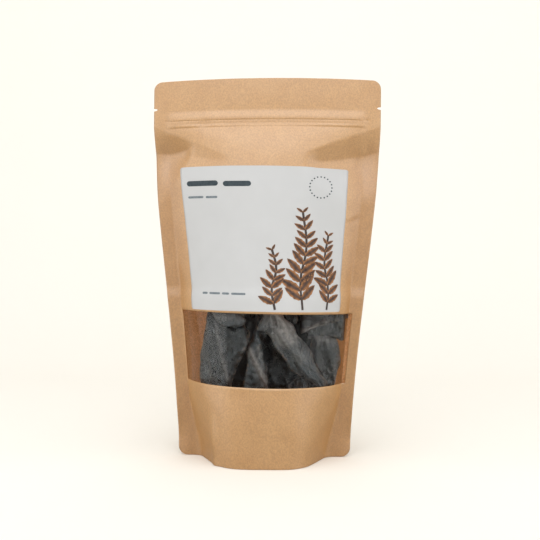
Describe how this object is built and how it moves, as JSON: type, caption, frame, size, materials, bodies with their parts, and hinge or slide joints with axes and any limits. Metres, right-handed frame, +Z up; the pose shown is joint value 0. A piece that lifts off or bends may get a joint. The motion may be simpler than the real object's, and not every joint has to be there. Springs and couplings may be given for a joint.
{
  "type": "stand-up pouch of dried sugar kelp",
  "caption": "Heat-sealed kraft stand-up pouch with press zip, tear notches, white label and a clear window that shows folded dried kelp blades inside.",
  "frame": {"origin": "middle of the pouch's bounding box on the plane that it stands on", "axes": "+Z up towards the heat-sealed top, -Y out of the front with the window, +X to the right seen from the front"},
  "size_m": [0.1302, 0.067, 0.2136],
  "materials": {
    "kraft": "matt uncoated brown kraft paper with fine fibres",
    "clear_film": "clear glossy film",
    "label_paper": "smooth white label paper",
    "zip_plastic": "milky natural polyethylene",
    "dry_kelp": "dark grey-green leathery dried blade, faint salt bloom"
  },
  "bodies": {
    "root": {"front_panel": "kraft", "back_panel": "kraft", "bottom_gusset": "kraft", "window_film": "clear_film", "front_label": "label_paper", "zip_rib": "zip_plastic", "zip_track": "zip_plastic", "kelp_blade_1": "dry_kelp", "kelp_blade_2": "dry_kelp", "kelp_blade_3": "dry_kelp", "kelp_blade_4": "dry_kelp", "kelp_blade_5": "dry_kelp", "kelp_blade_6": "dry_kelp", "kelp_blade_7": "dry_kelp", "kelp_blade_8": "dry_kelp", "kelp_blade_9": "dry_kelp"}
  },
  "joints": []
}
